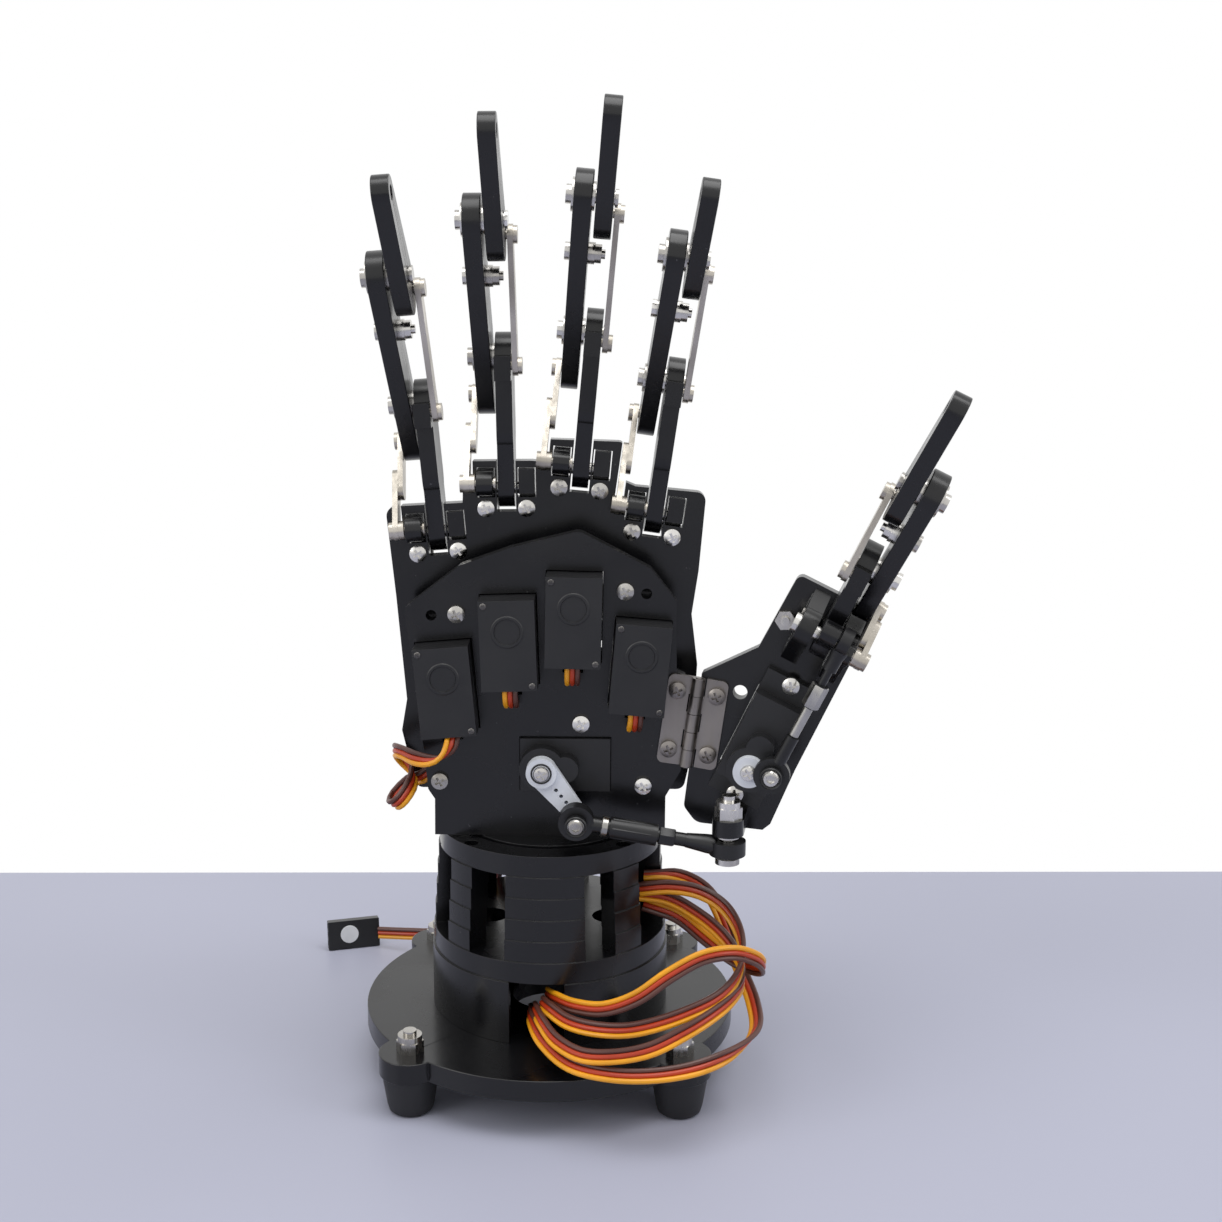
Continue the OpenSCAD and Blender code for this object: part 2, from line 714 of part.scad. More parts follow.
module thumb_frame() {
    color("black") {
        swung() difference() {
            upright(front_y, sheet) rounded(thumb_outline);
            at_thumb_servo() translate([0, 0, -10]) linear_extrude(30) square(
                [servo_w + 0.4, servo_l + 0.4], center = true);
            at_thumb_servo() for (e = [-1, 1]) translate([0, e * ear_hole, -10])
                cylinder(r = screw_r, h = 20);
            translate([42.5, -20, 92.9]) rotate([-90, 0, 0]) cylinder(r = 1.6, h = 20);
            leaf_holes(1);
            translate([THUMB[1], thumb_y, THUMB[2]]) rotate([0, THUMB[3], 0])
                for (s = [-1, 1]) translate([s * lane_bracket - sheet / 2 - 0.1, 0, -8.1])
                    cube([sheet + 0.2, 20, 14.2]);
        }
        in_thumb() {
            slice(-lane_bracket, sheet) thumb_bracket2(true);
            slice(lane_bracket, sheet) thumb_bracket2(false);
        }
        swung() translate([stud[0], stud[1], stud_eye_z + 4.6]) linear_extrude(sheet)
            difference() {
                union() {
                    circle(3.5);
                    translate([-3.5, 0]) square([7, front_y - stud[1]]);
                }
                circle(pin_r);
            }
    }
}

module thumb_hardware() {
    color("silver") {
        in_thumb() {
            pin([0, 0], -6.4, 6.9, pin_r);
            pin([0, 0], 6.45, 7.6, 2.3);
            translate([9, 5.4, -1.9]) {
                rotate([-90, 30, 0]) cylinder(r = 2.3, h = 1.6, $fn = 6);
                translate([0, -1, 0]) rotate([-90, 0, 0]) cylinder(r = screw_r, h = 2.6);
            }
            translate([lane_bracket, 0, 0.4]) {
                translate([-2.2, 5.2, -2.2]) cube([4.4, 1.5, 4.4]);
                translate([0, 4.2, 0]) rotate([-90, 0, 0]) cylinder(r = screw_r, h = 2);
            }
        }
        swung() {
            at_thumb_servo() for (e = [-1, 1]) translate([0, e * ear_hole, 0])
                rotate([-90, 0, 0]) screw_y([0, 0, 0], ear_t + 4);
            translate([stud[0], stud[1], 0]) {
                translate([0, 0, stud_eye_z - 1]) cylinder(r = pin_r, h = 14.5);
                translate([0, 0, stud_eye_z - 2.05]) cylinder(r = 2.7, h = 1.3);
                translate([0, 0, stud_eye_z + 3.95]) cylinder(r = 2.6, h = 0.65);
                translate([0, 0, stud_eye_z + 4.6 + sheet]) cylinder(r = 3.1, h = 2.6, $fn = 6);
                translate([0, 0, stud_eye_z + 4.6 + sheet]) cylinder(r = 2.7, h = 4);
            }
        }
    }
}

module thumb_servo() {
    color("dimgray") swung() at_thumb_servo() servo_body();
}

module thumb_horn() {
    c = [thumb_servo_at[0] - shaft_off * sin(thumb_servo_lean),
        thumb_servo_at[1] - shaft_off * cos(thumb_servo_lean)];
    d = [thumb_ball[0] - c[0], thumb_ball[2] - c[1]];
    color("white") swung() translate([c[0], front_y - ear_t - horn_seat, c[1]])
        rotate([90, 0, 0]) rotate(atan2(d[1], d[0])) servo_horn(length_of(d), 2.2, 4.9);
}

module thumb_rod() {
    top = [THUMB[1] + 3.4 * cos(THUMB[3]) + thumb_crank[1] * sin(THUMB[3]),
        thumb_y - thumb_crank[0],
        THUMB[2] - 3.4 * sin(THUMB[3]) + thumb_crank[1] * cos(THUMB[3])];
    d = (top - thumb_ball) / length_of(top - thumb_ball);
    color("black") {
        in_thumb() {
            pin(thumb_crank, -4.6, -2.2, 2.9);
            pin(thumb_crank, -4.6, 1.9, screw_r);
        }
        swung() {
            translate(thumb_ball + [0, 1.05, 0]) rotate([90, 0, 0]) difference() {
                cylinder(r = 3.9, h = 2.1);
                translate([0, 0, -1]) cylinder(r = screw_r + open_clear + 0.2, h = 5);
            }
            rod(thumb_ball + 3.3 * d, thumb_ball + 10 * d, 1.4);
            rod(thumb_ball + 10 * d, top - 2 * d, 0.9);
            rod(thumb_ball + 17.5 * d, thumb_ball + 23.1 * d, 1.6);
            rod(top - 7 * d, top - 2 * d, 1.4);
        }
    }
}

// ---- servo leads -----------------------------------------------------------

lead_r = 1.5;
LEADS = [
    [[0, -20, 23], [2, -27.4, 25.5], [6.5, -33.9, 26.9], [13, -38.8, 28.7], [20, -41.7, 32.7],
        [26.9, -41.5, 37.8], [34.2, -39.3, 41], [41.3, -35.7, 40.5], [46.5, -31.1, 36.9],
        [48.4, -25.8, 32.5], [46.7, -20.2, 29.8], [42.3, -15.3, 29.8], [36.4, -11.6, 33],
        [29.9, -9.4, 37.5], [22, -8, 40]],
    [[-1, -19, 20], [-0.9, -25.1, 23.3], [1.1, -31.4, 24.8], [5.3, -36.9, 24.6],
        [11.1, -40.8, 25], [17.9, -42.9, 25.8], [24.8, -42.9, 27.4], [31.5, -41, 29.1],
        [37.4, -37.4, 30.5], [41.6, -31.9, 32.1], [43.7, -25.7, 34.5], [43.3, -20.1, 38.4],
        [40.3, -15.2, 42.2], [34.8, -11.8, 44.5], [28, -9.8, 44.9], [21, -9, 44]],
    [[-3, -19, 19], [-2.4, -25.7, 21.8], [-0.7, -32.6, 22.4], [2.7, -39, 21.2],
        [8.4, -43.9, 20.5], [15.6, -46.1, 21.4], [22.9, -46.3, 23.1], [29.7, -44.3, 25.7],
        [35.8, -40.1, 27.6], [40.7, -34.5, 28.9], [43.6, -27.6, 29.8], [43.4, -20.4, 31.9],
        [39.8, -14.7, 35.4], [34.2, -11.1, 38.9], [27.5, -9.1, 41.9], [20, -9, 43]],
    [[-4, -18, 18], [-3.2, -27, 20.1], [-0.1, -35.5, 19.2], [5.9, -42.8, 17.7],
        [14.6, -47.1, 17.7], [24.2, -48.5, 18.4], [33.7, -46.8, 19.5], [41.6, -41.4, 20.6],
        [46.3, -32.9, 21.2], [46.5, -23.4, 23.3], [43.9, -15.5, 28.2], [41, -10.3, 35.6],
        [37, -7.9, 42.8], [30.3, -6.8, 46.5], [22, -6.5, 46.5]],
    [[-11, 19, 41], [-12.8, 23.3, 39], [-14.1, 26.9, 35.8], [-15, 30, 31.9], [-16, 33.1, 27.9],
        [-17.1, 36.1, 24], [-18.5, 39.2, 20.1], [-20.5, 42, 16.4], [-23.1, 44.6, 12.9],
        [-26.5, 46.9, 9.9], [-30.8, 48.7, 7.7], [-35.2, 50.6, 6.1], [-39.8, 52.6, 5.3],
        [-44.6, 54.3, 4.7], [-49.5, 55.6, 4.3]]];

// an eight-sided tube along a list of points
module tube(path, r) {
    n = len(path);
    function dir(i) = let (d = path[min(i + 1, n - 1)] - path[max(i - 1, 0)]) d / length_of(d);
    function side(i) = let (c = cross(dir(i), [0.1, 0.3, 1])) c / length_of(c);
    polyhedron(
        points = [for (i = [0:n - 1]) for (k = [0:7]) path[i]
            + r * cos(k * 45) * side(i) + r * sin(k * 45) * cross(dir(i), side(i))],
        faces = concat(
            [[for (k = [0:7]) k]],
            [for (i = [0:n - 2]) for (k = [0:7])
                [i * 8 + k, i * 8 + 8 + k, i * 8 + 8 + (k + 1) % 8, i * 8 + (k + 1) % 8]],
            [[for (k = [7:-1:0]) (n - 1) * 8 + k]]));
}

module servo_leads() {
    color("orange") for (path = LEADS) tube(path, lead_r);
}

// the connector stands on its long edge on the table
module lead_plug() {
    color("black") translate([-56.4, 55.6, 0.05]) rotate(16) rotate([-8, 0, 0]) difference() {
        translate([-7, -1.3, 0]) cube([14, 2.6, 7.8]);
        for (k = [-1, 0, 1]) translate([-8, -0.6, 3.5 + k * 2.4]) cube([7, 1.2, 1.2]);
    }
}

// ---- nodes ---------------------------------------------------------------

module hand() {
    translate([centre[0], centre[1], 0]) children();
}

module shows(name) {
    hand() children();
}

shows("base_plate") base_plate();
shows("rubber_feet") rubber_feet();
shows("foot_fasteners") foot_fasteners();
shows("column_rings") column_rings();
shows("wrist_servo") wrist_servo();
shows("turntable") turntable();
shows("finger_plate") finger_plate();
shows("front_plate") front_plate();
shows("palm_hardware") palm_hardware();
shows("finger_brackets") finger_brackets();
shows("palm_servos") palm_servos();
shows("swing_horn") swing_horn();
shows("swing_rod") swing_rod();
shows("hinge_fixed_leaf") hinge_fixed_leaf();
shows("hinge_moving_leaf") hinge_moving_leaf();
shows("thumb_frame") thumb_frame();
shows("thumb_hardware") thumb_hardware();
shows("thumb_servo") thumb_servo();
shows("thumb_horn") thumb_horn();
shows("thumb_rod") thumb_rod();
for (i = [0:3]) {
    f = FINGERS[i];
    w = FINGER_W;
    shows(str(f[0], "_horn")) color("white") finger_horn(i);
    shows(str(f[0], "_rod")) finger_rod(i);
    shows(str(f[0], "_proximal")) color("black") in_finger(f)
        proximal(f, w, crank_pin(), 0.15);
    shows(str(f[0], "_middle")) color("black") in_finger(f) middle_bar(f, w);
    shows(str(f[0], "_distal")) color("black") in_finger(f) distal(f, w);
    shows(str(f[0], "_link_1")) color("silver") in_finger(f) link_1(f, w);
    shows(str(f[0], "_link_2")) color("silver") in_finger(f) link_2(f, w);
    shows(str(f[0], "_screws")) color("silver") in_finger(f) digit_screws(f, w);
}
shows("thumb_proximal") color("black") in_thumb() proximal(THUMB, THUMB_W, thumb_crank, 0.3);
shows("thumb_middle") color("black") in_thumb() middle_bar(THUMB, THUMB_W);
shows("thumb_distal") color("black") in_thumb() distal(THUMB, THUMB_W);
shows("thumb_link_1") color("silver") in_thumb() link_1(THUMB, THUMB_W);
shows("thumb_link_2") color("silver") in_thumb() link_2(THUMB, THUMB_W);
shows("servo_leads") servo_leads();
shows("lead_plug") lead_plug();
shows("thumb_screws") color("silver") in_thumb() digit_screws(THUMB, THUMB_W);
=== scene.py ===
# %% [markdown]
# # Desk-top robot hand
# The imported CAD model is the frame. This script gives it its finish: the satin black
# sheet, the plated screws and links, the servo leads, and the studio.
# All lengths are in metres; mm() turns millimetres into metres.

# %%
import json
import math
import bmesh
import bpy
from mathutils import Matrix, Vector


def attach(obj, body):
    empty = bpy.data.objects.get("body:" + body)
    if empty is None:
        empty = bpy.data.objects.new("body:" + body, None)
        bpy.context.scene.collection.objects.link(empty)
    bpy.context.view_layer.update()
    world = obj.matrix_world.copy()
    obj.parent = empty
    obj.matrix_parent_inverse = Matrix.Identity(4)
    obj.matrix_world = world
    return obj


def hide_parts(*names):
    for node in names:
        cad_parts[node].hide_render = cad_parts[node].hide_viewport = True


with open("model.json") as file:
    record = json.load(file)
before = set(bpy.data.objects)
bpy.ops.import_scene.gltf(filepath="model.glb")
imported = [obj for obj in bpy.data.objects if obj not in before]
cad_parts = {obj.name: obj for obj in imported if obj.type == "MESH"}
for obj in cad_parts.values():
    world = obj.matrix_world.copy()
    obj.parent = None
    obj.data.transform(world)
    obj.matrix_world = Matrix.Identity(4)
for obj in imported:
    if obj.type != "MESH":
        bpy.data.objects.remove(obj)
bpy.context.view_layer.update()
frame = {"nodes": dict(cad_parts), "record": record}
nodes = frame["nodes"]
scene = bpy.context.scene

# %% [markdown]
# ## Places
# CENTRE is where the middle of the stand lies in the frame. Everything below is laid
# out from it, in millimetres, as in the part's source.

# %%
CENTRE = Vector((-19.37, 6.01, 0.0))


def mm(*p):
    """A point in the stand's millimetres, in the frame's metres."""
    return (Vector(p) + CENTRE) * 0.001


def rgb(r, g, b):
    """A linear colour from screen values of 0 to 255."""
    return tuple((c / 255) ** 2.2 for c in (r, g, b)) + (1.0,)


# %% [markdown]
# ## Camera
# Level with the palm and a third of a metre in front of it, looking slightly down.

# %%
LENS = 47.14
CAMERA_AT = (13.9, -356.7, 186.0)
CAMERA_DOWN, CAMERA_ROLL = math.radians(12.36), math.radians(0.45)

cam_data = bpy.data.cameras.new("camera")
cam_data.sensor_width = 36.0
cam_data.lens = LENS
cam_data.clip_start = 0.01
cam = bpy.data.objects.new("camera", cam_data)
scene.collection.objects.link(cam)
cam.matrix_world = (Matrix.Translation(mm(*CAMERA_AT))
                    @ Matrix.Rotation(math.pi / 2 - CAMERA_DOWN, 4, "X")
                    @ Matrix.Rotation(CAMERA_ROLL, 4, "Z"))
scene.camera = cam
print("camera at", [round(x, 3) for x in cam.matrix_world.translation])

# %% [markdown]
# ## Materials
# Small helpers build each procedural material from noise on Object coordinates.

# %%


def new_material(name, **sockets):
    """A Principled material and its node tree; sockets are set on the shader itself."""
    m = bpy.data.materials.new(name)
    m.use_nodes = True
    shader = m.node_tree.nodes["Principled BSDF"]
    for key, value in sockets.items():
        shader.inputs[key.replace("_", " ")].default_value = value
    return m, m.node_tree, shader


def noise(tree, scale, detail=3.0, stretch=(1, 1, 1), kind="ShaderNodeTexNoise"):
    """A noise texture on Object coordinates; scale is in features per metre."""
    coord = tree.nodes.new("ShaderNodeTexCoord")
    mapping = tree.nodes.new("ShaderNodeMapping")
    mapping.inputs["Scale"].default_value = stretch
    tex = tree.nodes.new(kind)
    tex.inputs["Scale"].default_value = scale
    if "Detail" in tex.inputs:
        tex.inputs["Detail"].default_value = detail
    tree.links.new(coord.outputs["Object"], mapping.inputs["Vector"])
    tree.links.new(mapping.outputs["Vector"], tex.inputs["Vector"])
    return tex


def ramp(tree, source, stops):
    """A colour ramp on a 0..1 output; stops are (position, colour or grey)."""
    r = tree.nodes.new("ShaderNodeValToRGB")
    r.color_ramp.elements[0].position = stops[0][0]
    r.color_ramp.elements[1].position = stops[-1][0]
    for pos, _ in stops[1:-1]:
        r.color_ramp.elements.new(pos)
    for e, (_, c) in zip(r.color_ramp.elements, stops):
        e.color = c if isinstance(c, tuple) else (c, c, c, 1)
    tree.links.new(source, r.inputs["Fac"])
    return r.outputs["Color"]


def bump(tree, shader, height, strength, distance):
    """Drives the shader's normal from a height."""
    b = tree.nodes.new("ShaderNodeBump")
    b.inputs["Strength"].default_value = strength
    b.inputs["Distance"].default_value = distance
    tree.links.new(height, b.inputs["Height"])
    tree.links.new(b.outputs["Normal"], shader.inputs["Normal"])


def black_sheet():
    """Laser-cut acrylic: glossy black with faint dust, smudges and hair scratches."""
    m, t, s = new_material("black_sheet", IOR=1.49, Specular_IOR_Level=0.5)
    dust = noise(t, 900, 2)
    specks = ramp(t, dust.outputs["Fac"], [(0.0, rgb(17, 17, 19)), (0.76, rgb(21, 21, 23)),
                                           (0.8, rgb(78, 78, 80)), (1.0, rgb(110, 110, 112))])
    t.links.new(specks, s.inputs["Base Color"])
    smudge = noise(t, 60, 4)
    t.links.new(ramp(t, smudge.outputs["Fac"], [(0.3, 0.16), (0.7, 0.34)]),
                s.inputs["Roughness"])
    fine = noise(t, 500, 2, (1, 1, 0.06))
    bump(t, s, fine.outputs["Fac"], 0.25, 0.00004)
    return m


def moulded(name, colour, rough=0.5, grain=0.3):
    """Moulded plastic with a fine spark-eroded grain and slight tone changes."""
    m, t, s = new_material(name, IOR=1.5)
    dark = tuple(c * 0.8 for c in colour[:3]) + (1.0,)
    tone = noise(t, 120, 3)
    t.links.new(ramp(t, tone.outputs["Fac"], [(0.3, dark), (0.7, colour)]),
                s.inputs["Base Color"])
    t.links.new(ramp(t, tone.outputs["Fac"], [(0.3, rough - 0.08), (0.7, rough + 0.08)]),
                s.inputs["Roughness"])
    skin = noise(t, 4000, 2)
    bump(t, s, skin.outputs["Fac"], grain, 0.00003)
    return m


def steel(name, low, high, rough=0.25, streak=(1, 1, 0.15), scale=700, marks=0.35):
    """Steel with fine rolled streaks and a slow change of tone."""
    m, t, s = new_material(name, Metallic=1.0)
    patches = noise(t, 70, 2)
    t.links.new(ramp(t, patches.outputs["Fac"], [(0.3, low), (0.7, high)]),
                s.inputs["Base Color"])
    lines = noise(t, scale, 3, streak)
    t.links.new(ramp(t, lines.outputs["Fac"], [(0.3, rough - 0.1), (0.7, rough + 0.14)]),
                s.inputs["Roughness"])
    bump(t, s, lines.outputs["Fac"], marks, 0.00005)
    return m


MATERIALS = {
    "black_sheet": black_sheet(),
    "rubber": moulded("rubber", rgb(34, 34, 36), 0.55, 0.5),
    "servo_case": moulded("servo_case", rgb(31, 31, 33), 0.42, 0.35),
    "horn_plastic": moulded("horn_plastic", rgb(236, 240, 247), 0.4, 0.15),
    "ball_link": moulded("ball_link", rgb(24, 24, 26), 0.38, 0.25),
    "connector": moulded("connector", rgb(26, 26, 28), 0.35, 0.2),
    "fastener_steel": steel("fastener_steel", rgb(150, 146, 140), rgb(232, 230, 226), 0.22),
    "link_steel": steel("link_steel", rgb(160, 154, 144), rgb(200, 194, 184), 0.3),
    "hinge_steel": steel("hinge_steel", rgb(124, 119, 116), rgb(142, 137, 133), 0.36),
    "rod_steel": steel("rod_steel", rgb(120, 118, 114), rgb(196, 194, 190), 0.28),
    "dark_steel": steel("dark_steel", rgb(70, 68, 68), rgb(112, 110, 108), 0.3),
    "lead_skin": moulded("lead_skin", rgb(238, 150, 30), 0.4, 0.05),
}
print("materials", len(MATERIALS))

# %% [markdown]
# ## Servo leads
# Each lead is three wires side by side that lie on one route. The routes are those of
# the part's source; a wire is offset from the route along the ribbon's width.

# %%
WIRE = 1.15
ROUTES = [
    [(0, -20, 23), (2, -27.4, 25.5), (6.5, -33.9, 26.9), (13, -38.8, 28.7), (20, -41.7, 32.7),
     (26.9, -41.5, 37.8), (34.2, -39.3, 41), (41.3, -35.7, 40.5), (46.5, -31.1, 36.9),
     (48.4, -25.8, 32.5), (46.7, -20.2, 29.8), (42.3, -15.3, 29.8), (36.4, -11.6, 33),
     (29.9, -9.4, 37.5), (22, -8, 40)],
    [(-1, -19, 20), (-0.9, -25.1, 23.3), (1.1, -31.4, 24.8), (5.3, -36.9, 24.6),
     (11.1, -40.8, 25), (17.9, -42.9, 25.8), (24.8, -42.9, 27.4), (31.5, -41, 29.1),
     (37.4, -37.4, 30.5), (41.6, -31.9, 32.1), (43.7, -25.7, 34.5), (43.3, -20.1, 38.4),
     (40.3, -15.2, 42.2), (34.8, -11.8, 44.5), (28, -9.8, 44.9), (21, -9, 44)],
    [(-3, -19, 19), (-2.4, -25.7, 21.8), (-0.7, -32.6, 22.4), (2.7, -39, 21.2),
     (8.4, -43.9, 20.5), (15.6, -46.1, 21.4), (22.9, -46.3, 23.1), (29.7, -44.3, 25.7),
     (35.8, -40.1, 27.6), (40.7, -34.5, 28.9), (43.6, -27.6, 29.8), (43.4, -20.4, 31.9),
     (39.8, -14.7, 35.4), (34.2, -11.1, 38.9), (27.5, -9.1, 41.9), (20, -9, 43)],
    [(-4, -18, 18), (-3.2, -27, 20.1), (-0.1, -35.5, 19.2), (5.9, -42.8, 17.7),
     (14.6, -47.1, 17.7), (24.2, -48.5, 18.4), (33.7, -46.8, 19.5), (41.6, -41.4, 20.6),
     (46.3, -32.9, 21.2), (46.5, -23.4, 23.3), (43.9, -15.5, 28.2), (41, -10.3, 35.6),
     (37, -7.9, 42.8), (30.3, -6.8, 46.5), (22, -6.5, 46.5)],
    [(-11, 19, 41), (-12.8, 23.3, 39), (-14.1, 26.9, 35.8), (-15, 30, 31.9), (-16, 33.1, 27.9),
     (-17.1, 36.1, 24), (-18.5, 39.2, 20.1), (-20.5, 42, 16.4), (-23.1, 44.6, 12.9),
     (-26.5, 46.9, 9.9), (-30.8, 48.7, 7.7), (-35.2, 50.6, 6.1), (-39.8, 52.6, 5.3),
     (-44.6, 54.3, 4.7), (-49.5, 55.6, 4.3)]]
# the ribbon's width direction at the start and at the end of each route
LIES = [((0.2, 0.3, 1), (0, 0.2, 1)), ((0.3, 0.5, 1), (0, 0.3, 1)), ((0.2, 0.6, 1), (0, 0.2, 1)),
        ((0.1, 0.7, 0.8), (1, 0.2, 0.1)), ((1, 0, 0.2), (0, 0, 1))]
WIRE_COLOURS = [rgb(250, 170, 34), rgb(190, 62, 30), rgb(92, 56, 48)]


def smooth_path(points, step=4):
    """A Catmull-Rom curve through the points, with step pieces between two of them."""
    p = [2 * points[0] - points[1], *points, 2 * points[-1] - points[-2]]
    out = []
    for i in range(1, len(p) - 2):
        for k in range(step):
            t = k / step
            out.append(0.5 * ((2 * p[i]) + (p[i + 1] - p[i - 1]) * t
                              + (2 * p[i - 1] - 5 * p[i] + 4 * p[i + 1] - p[i + 2]) * t ** 2
                              + (3 * p[i] - p[i - 1] - 3 * p[i + 1] + p[i + 2]) * t ** 3))
    return out + [points[-1]]


def mesh_object(name, bm, material, body, smooth=True):
    """A piece from a bmesh: at the origin, with outward normals, on its body."""
    bmesh.ops.recalc_face_normals(bm, faces=bm.faces)
    me = bpy.data.meshes.new(name)
    bm.to_mesh(me)
    bm.free()
    ob = bpy.data.objects.new(name, me)
    scene.collection.objects.link(ob)
    for one in material if isinstance(material, list) else [material]:
        me.materials.append(one)
    for poly in me.polygons:
        poly.use_smooth = smooth
    if smooth:
        me.set_sharp_from_angle(angle=math.radians(35))
    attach(ob, body)
    return ob


def wire_tube(bm, path, radius, material_index, sides=10):
    """A round closed tube along a path, added to a bmesh."""
    rings = []
    up = Vector((0.11, 0.31, 0.94))
    for i, p in enumerate(path):
        ahead = (path[min(i + 1, len(path) - 1)] - path[max(i - 1, 0)]).normalized()
        side = ahead.cross(up).normalized()
        up = side.cross(ahead).normalized()
        rings.append([bm.verts.new(p + radius * (math.cos(a) * side + math.sin(a) * up))
                      for a in (2 * math.pi * k / sides for k in range(sides))])
    faces = [bm.faces.new((a[k], a[(k + 1) % sides], b[(k + 1) % sides], b[k]))
             for a, b in zip(rings, rings[1:]) for k in range(sides)]
    faces += [bm.faces.new(rings[0][::-1]), bm.faces.new(rings[-1])]
    for f in faces:
        f.material_index = material_index


def ribbon(name, path, lies, body, radius=WIRE / 2, flip=False):
    """Three wires beside each other along one path; lies are the width's two directions."""
    bm = bmesh.new()
    n = len(path)
    order = [1, 0, -1] if flip else [-1, 0, 1]
    for index, place in enumerate(order):
        line = []
        for i, p in enumerate(path):
            ahead = (path[min(i + 1, n - 1)] - path[max(i - 1, 0)]).normalized()
            lay = lies[0].lerp(lies[1], i / (n - 1))
            across = (lay - lay.dot(ahead) * ahead).normalized()
            line.append(p + across * place * radius * 1.96)
        wire_tube(bm, line, radius, index)
    bmesh.ops.scale(bm, vec=(0.001, 0.001, 0.001), verts=bm.verts)
    bmesh.ops.translate(bm, vec=CENTRE * 0.001, verts=bm.verts)
    return mesh_object(name, bm, WIRE_SKINS, body)


WIRE_SKINS = [moulded(f"wire_{i}", c, 0.36, 0.03) for i, c in enumerate(WIRE_COLOURS)]
for i, (route, lies) in enumerate(zip(ROUTES, LIES)):
    fine = smooth_path([Vector(p) for p in route], 6)
    lead = ribbon(f"lead_{i}", fine, [Vector(v) for v in lies], "stand", flip=i == 0)
    if i == 0:
        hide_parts("servo_leads")

# %% [markdown]
# ## Studio
# A pale grey-violet table that ends a little behind the hand, white beyond it, and
# soft lights above and at both sides.

# %%
TABLE_EDGE = 0.1185         # how far behind the frame's origin the table ends
TABLE_TURN = 0.0235         # the edge's turn, in radians
AMBIENT = 0.42              # the world's light on dull faces; the eye sees plain white


def box_mesh(name, low, high, material):
    """A plain stage block between two corners."""
    bm = bmesh.new()
    bmesh.ops.create_cube(bm, size=1)
    for v in bm.verts:
        v.co = Vector(low[i] + (v.co[i] + 0.5) * (high[i] - low[i]) for i in range(3))
    me = bpy.data.meshes.new(name)
    bm.to_mesh(me)
    bm.free()
    me.materials.append(material)
    ob = bpy.data.objects.new(name, me)
    scene.collection.objects.link(ob)
    return ob


table_mat, tree, shader = new_material("table", Roughness=0.42, IOR=1.45,
                                       Specular_IOR_Level=0.35)
cloud = noise(tree, 3, 3)
tree.links.new(ramp(tree, cloud.outputs["Fac"], [(0.3, rgb(176, 178, 196)),
                                                (0.7, rgb(184, 186, 204))]),
               shader.inputs["Base Color"])
table = box_mesh("table", (-3, -2, -0.03), (3, 0, 0), table_mat)
table.data.transform(Matrix.Translation((0, TABLE_EDGE, 0))
                     @ Matrix.Rotation(TABLE_TURN, 4, "Z"))

world = bpy.data.worlds.new("world")
scene.world = world
world.use_nodes = True
wt = world.node_tree
ray = wt.nodes.new("ShaderNodeLightPath")
wt.nodes["Background"].inputs["Color"].default_value = (1, 1, 1, 1)
wt.nodes["Background"].inputs["Strength"].default_value = AMBIENT
white = wt.nodes.new("ShaderNodeBackground")
white.inputs["Color"].default_value = (1, 1, 1, 1)
white.inputs["Strength"].default_value = 1.0
mix = wt.nodes.new("ShaderNodeMixShader")
seen = wt.nodes.new("ShaderNodeMath")
seen.operation = "MAXIMUM"
wt.links.new(ray.outputs["Is Camera Ray"], seen.inputs[0])
wt.links.new(ray.outputs["Is Glossy Ray"], seen.inputs[1])
wt.links.new(seen.outputs[0], mix.inputs["Fac"])
wt.links.new(wt.nodes["Background"].outputs["Background"], mix.inputs[1])
wt.links.new(white.outputs["Background"], mix.inputs[2])
wt.links.new(mix.outputs["Shader"], wt.nodes["World Output"].inputs["Surface"])


def area_light(name, at, aim, size, power, colour=(1, 1, 1)):
    """A soft rectangular light at one point, turned towards another."""
    data = bpy.data.lights.new(name, "AREA")
    data.shape = "RECTANGLE"
    data.size, data.size_y = size
    data.energy = power
    data.color = colour
    ob = bpy.data.objects.new(name, data)
    scene.collection.objects.link(ob)
    ob.matrix_world = (Matrix.Translation(at)
                       @ (Vector(aim) - Vector(at)).to_track_quat("-Z", "Y").to_matrix().to_4x4())
    return ob


area_light("top", (0.1, -0.15, 0.95), (0, 0, 0.05), (0.8, 0.6), 5.2)
area_light("left", (-0.8, -0.5, 0.6), (0, 0, 0.1), (0.5, 0.7), 2.8, (1, 0.99, 0.97))
area_light("right", (0.9, -0.3, 0.5), (0, 0, 0.1), (0.3, 0.7), 1.8, (0.97, 0.98, 1))
scene.view_settings.view_transform = "Standard"

# %% [markdown]
# ## Finish of the CAD nodes
# Every node takes the material of its slot. Welding and a small bevel give the edges
# the thin bright line that cut sheet and stamped strips have.

# %%
SLOT_OF = {p["node"]: p["material_slot"] for p in frame["record"]["subparts"]}
WELD = 0.000004
EDGE_ANGLE = math.radians(40)
FINE_BEVEL = 0.0001
BEVEL = {"black_sheet": 0.00022, "servo_case": 0.0003, "horn_plastic": 0.00015,
         "connector": 0.0002, "rubber": 0.0002}
for name, ob in nodes.items():
    slot = "hinge_steel" if name.startswith("hinge") else SLOT_OF[name]
    ob.data.materials.clear()
    ob.data.materials.append(MATERIALS[slot])
    if "custom_normal" in ob.data.attributes:
        ob.data.attributes.remove(ob.data.attributes["custom_normal"])
    for poly in ob.data.polygons:
        poly.use_smooth = True
    weld = ob.modifiers.new("weld", "WELD")
    weld.merge_threshold = WELD
    edge = ob.modifiers.new("edge", "BEVEL")
    edge.width = BEVEL.get(slot, FINE_BEVEL)
    edge.segments = 2
    edge.limit_method = "ANGLE"
    edge.angle_limit = EDGE_ANGLE
    edge.harden_normals = True
    edge.use_clamp_overlap = True
print("finished nodes", len(nodes))

